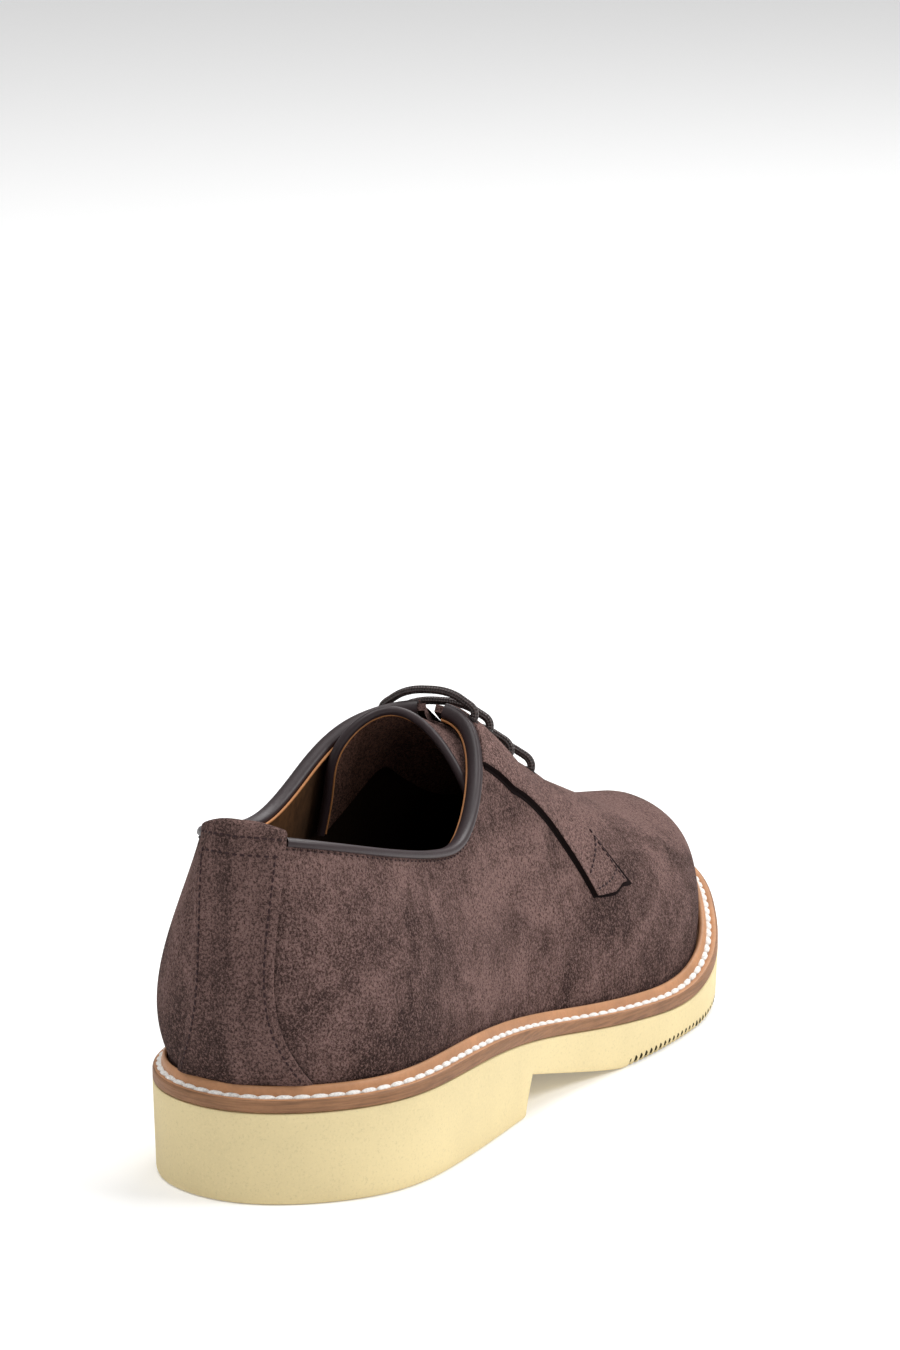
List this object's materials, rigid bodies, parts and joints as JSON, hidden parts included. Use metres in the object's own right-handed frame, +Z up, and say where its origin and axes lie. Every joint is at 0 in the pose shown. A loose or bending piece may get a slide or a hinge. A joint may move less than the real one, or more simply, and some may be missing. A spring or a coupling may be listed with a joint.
{
  "type": "derby shoe",
  "caption": "Right suede derby shoe: hollow upper with facings, bound collar, heel strip, tongue and straight laces, on a tan welt and a cream foam sole with heel and toe spring.",
  "frame": {"origin": "on the floor under the middle of the heel", "axes": "+Y towards the toe, +X towards the outer side of the foot, +Z up"},
  "size_m": [0.1019, 0.3, 0.1181],
  "materials": {
    "outsole": "matt cream foam rubber with a fine speckle",
    "welt": "tan vegetable leather, matt, darker at its cut edge",
    "insole": "tan leather, smooth and matt",
    "upper": "dark brown suede with a soft brushed nap",
    "heel_strip": "dark brown suede, brushed flat",
    "collar_binding_outer": "smooth dark brown leather with a soft sheen",
    "collar_binding_inner": "smooth dark brown leather with a soft sheen",
    "facing_outer": "dark brown suede with a soft brushed nap",
    "facing_inner": "dark brown suede with a soft brushed nap",
    "tongue": "dark brown suede with a soft brushed nap",
    "lace_bar_1": "dark brown waxed round lace",
    "lace_bar_2": "dark brown waxed round lace",
    "lace_bar_3": "dark brown waxed round lace",
    "lace_bar_4": "dark brown waxed round lace"
  },
  "bodies": {
    "root": {"outsole": "outsole", "welt": "welt", "insole": "insole", "upper": "upper", "heel_strip": "heel_strip", "collar_binding_outer": "collar_binding_outer", "collar_binding_inner": "collar_binding_inner", "facing_outer": "facing_outer", "facing_inner": "facing_inner", "tongue": "tongue", "lace_bar_1": "lace_bar_1", "lace_bar_2": "lace_bar_2", "lace_bar_3": "lace_bar_3", "lace_bar_4": "lace_bar_4"}
  },
  "joints": []
}
